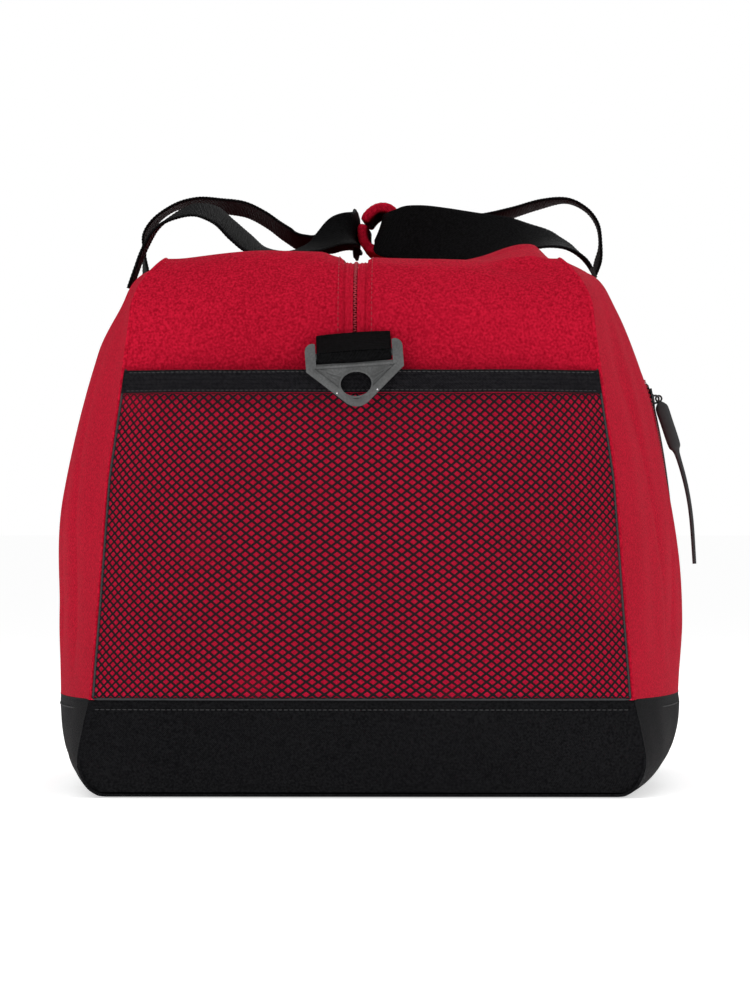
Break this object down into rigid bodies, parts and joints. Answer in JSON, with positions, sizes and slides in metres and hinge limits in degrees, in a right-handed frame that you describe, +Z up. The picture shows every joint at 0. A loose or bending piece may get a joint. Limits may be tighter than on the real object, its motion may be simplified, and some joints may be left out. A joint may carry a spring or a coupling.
{
  "type": "team sports equipment bag",
  "caption": "Soft sports equipment bag: boxy body with a full-length top zip, net end pockets, zipped side pockets, webbing carrying handles and strap rings.",
  "frame": {"origin": "under the middle of the bag, on the surface that it stands on", "axes": "+X to the right seen from the near end, +Y along the bag to the far end, +Z up"},
  "size_m": [0.375, 0.644, 0.3398],
  "materials": {
    "red_cloth": "woven polyester, coated inside",
    "black_base": "smooth woven polyester, satin",
    "lining": "thin lining cloth",
    "black_net": "knitted net, open holes",
    "black_elastic": "ribbed elastic band",
    "black_webbing": "heavy ribbed webbing",
    "red_wrap": "padded woven polyester",
    "red_zip": "woven tape with a nylon coil",
    "black_zip": "woven tape with a nylon coil",
    "base_board": "plain stiff sheet",
    "grey_plastic": "moulded, satin",
    "black_metal": "black lacquered die casting",
    "black_rubber": "moulded, satin"
  },
  "bodies": {
    "bag": {"base_wrap": "black_base", "end_base_near": "black_base", "end_base_far": "black_base", "pocket_bag_left": "lining", "pocket_bag_right": "lining", "end_panel_near": "red_cloth", "end_panel_far": "red_cloth", "side_panel_left": "red_cloth", "side_panel_right": "red_cloth", "top_panel_left": "red_cloth", "top_panel_right": "red_cloth", "mesh_pocket_near": "black_net", "mesh_pocket_far": "black_net", "pocket_elastic_near": "black_elastic", "pocket_elastic_far": "black_elastic", "ring_tab_near": "black_webbing", "ring_tab_far": "black_webbing", "main_zip_tape_left": "red_zip", "main_zip_tape_right": "red_zip", "main_zip_teeth": "red_zip", "pocket_zip_tape_upper_left": "black_zip", "pocket_zip_tape_upper_right": "black_zip", "pocket_zip_tape_lower_left": "black_zip", "pocket_zip_tape_lower_right": "black_zip", "pocket_zip_teeth_left": "black_zip", "pocket_zip_teeth_right": "black_zip", "base_board": "base_board"},
    "main_slider": {"main_slider": "black_metal"},
    "main_pull": {"main_pull": "black_rubber"},
    "pocket_slider_left": {"pocket_slider_left": "black_metal"},
    "pocket_slider_right": {"pocket_slider_right": "black_metal"},
    "pocket_pull_left": {"pocket_pull_left": "black_rubber"},
    "pocket_pull_right": {"pocket_pull_right": "black_rubber"},
    "ring_near": {"ring_near": "grey_plastic"},
    "ring_far": {"ring_far": "grey_plastic"},
    "handle_left": {"handle_left": "black_webbing"},
    "wrap_flap": {"wrap_flap": "red_wrap"},
    "handle_right": {"handle_right": "black_webbing", "handle_wrap": "red_wrap"}
  },
  "joints": [
    {"name": "main_slider_slide", "type": "slide", "parent": "bag", "child": "main_slider", "axis": [0, -1, 0], "range_m": [0, 0.5]},
    {"name": "main_pull_hinge", "type": "hinge", "parent": "main_slider", "child": "main_pull", "pos_m": [-0.0035, 0.25, 0.2958], "axis": [-1, 0, 0], "range_deg": [0, 160]},
    {"name": "pocket_slider_right_slide", "type": "slide", "parent": "bag", "child": "pocket_slider_right", "axis": [0.0891, 0.8628, -0.4976], "range_m": [0, 0.155]},
    {"name": "pocket_pull_right_hinge", "type": "hinge", "parent": "pocket_slider_right", "child": "pocket_pull_right", "pos_m": [0.1632, -0.06848, 0.2178], "axis": [0, -1, 0], "range_deg": [0, 110]},
    {"name": "pocket_slider_left_slide", "type": "slide", "parent": "bag", "child": "pocket_slider_left", "axis": [-0.0891, -0.8628, -0.4976], "range_m": [0, 0.155]},
    {"name": "pocket_pull_left_hinge", "type": "hinge", "parent": "pocket_slider_left", "child": "pocket_pull_left", "pos_m": [-0.1632, 0.06848, 0.2178], "axis": [0, 1, 0], "range_deg": [0, 110]},
    {"name": "ring_near_hinge", "type": "hinge", "parent": "bag", "child": "ring_near", "pos_m": [-0.0035, -0.318, 0.2375], "axis": [-0.9976, 0, -0.0698], "range_deg": [0, 120]},
    {"name": "ring_far_hinge", "type": "hinge", "parent": "bag", "child": "ring_far", "pos_m": [-0.0035, 0.318, 0.2375], "axis": [0.9976, 0, -0.0698], "range_deg": [0, 120]},
    {"name": "handle_left_hinge", "type": "hinge", "parent": "bag", "child": "handle_left", "pos_m": [-0.135, 0, 0.279], "axis": [0, -1, 0], "range_deg": [0, 95]},
    {"name": "handle_right_hinge", "type": "hinge", "parent": "bag", "child": "handle_right", "pos_m": [0.1262, 0, 0.288], "axis": [0, 1, 0], "range_deg": [0, 95]},
    {"name": "wrap_flap_hinge", "type": "hinge", "parent": "handle_right", "child": "wrap_flap", "pos_m": [0.01672, 0, 0.31055], "axis": [0, 1, 0], "range_deg": [0, 150]}
  ]
}
